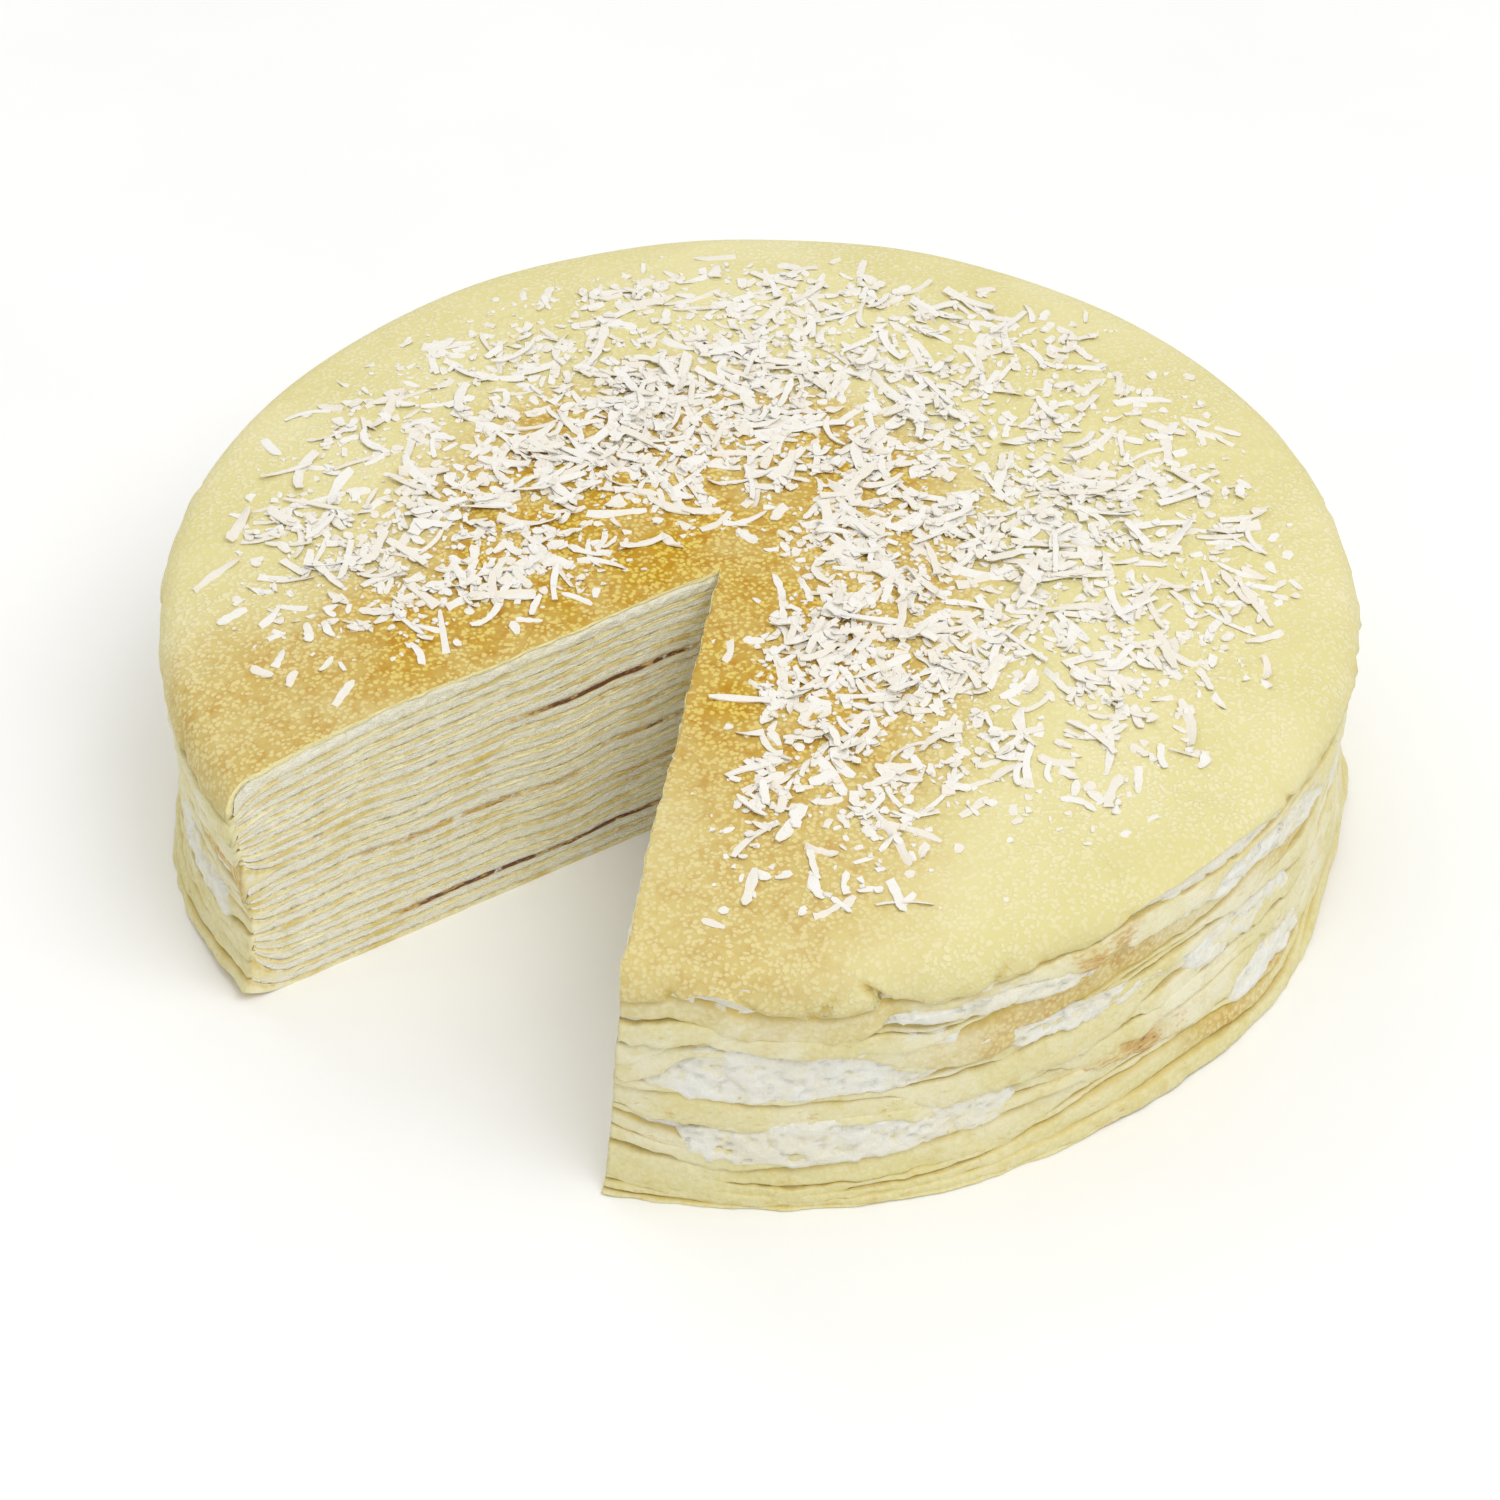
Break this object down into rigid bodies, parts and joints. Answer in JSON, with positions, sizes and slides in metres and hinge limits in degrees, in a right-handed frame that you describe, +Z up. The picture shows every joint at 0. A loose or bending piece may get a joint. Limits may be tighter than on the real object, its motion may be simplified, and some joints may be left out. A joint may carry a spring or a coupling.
{
  "type": "crepe cake",
  "caption": "Round cake of stacked thin crepes and cream with shredded coconut on top and one slice cut out.",
  "frame": {"origin": "middle of the cake's outline, on its flat underside", "axes": "+Z up through the layers; the missing slice opens towards -X -Y"},
  "size_m": [0.23, 0.2297, 0.0599],
  "materials": {
    "crepe": "soft cooked batter, matt, with browned patches",
    "cream": "whipped cream, off-white, softly rough",
    "crepe_top": "cooked batter, lacy golden patches, with white shredded coconut on it"
  },
  "bodies": {
    "root": {"crepe_01": "crepe", "cream_01": "cream", "crepe_02": "crepe", "cream_02": "cream", "crepe_03": "crepe", "cream_03": "cream", "crepe_04": "crepe", "cream_04": "cream", "crepe_05": "crepe", "cream_05": "cream", "crepe_06": "crepe", "cream_06": "cream", "crepe_07": "crepe", "cream_07": "cream", "crepe_08": "crepe", "cream_08": "cream", "crepe_09": "crepe", "cream_09": "cream", "crepe_10": "crepe", "cream_10": "cream", "crepe_11": "crepe", "cream_11": "cream", "crepe_12": "crepe", "cream_12": "cream", "crepe_13": "crepe", "cream_13": "cream", "crepe_14": "crepe", "cream_14": "cream", "crepe_15": "crepe", "cream_15": "cream", "crepe_16": "crepe", "cream_16": "cream", "crepe_17": "crepe", "cream_17": "cream", "crepe_18": "crepe", "cream_18": "cream", "crepe_19": "crepe", "cream_19": "cream", "crepe_20": "crepe_top"}
  },
  "joints": []
}
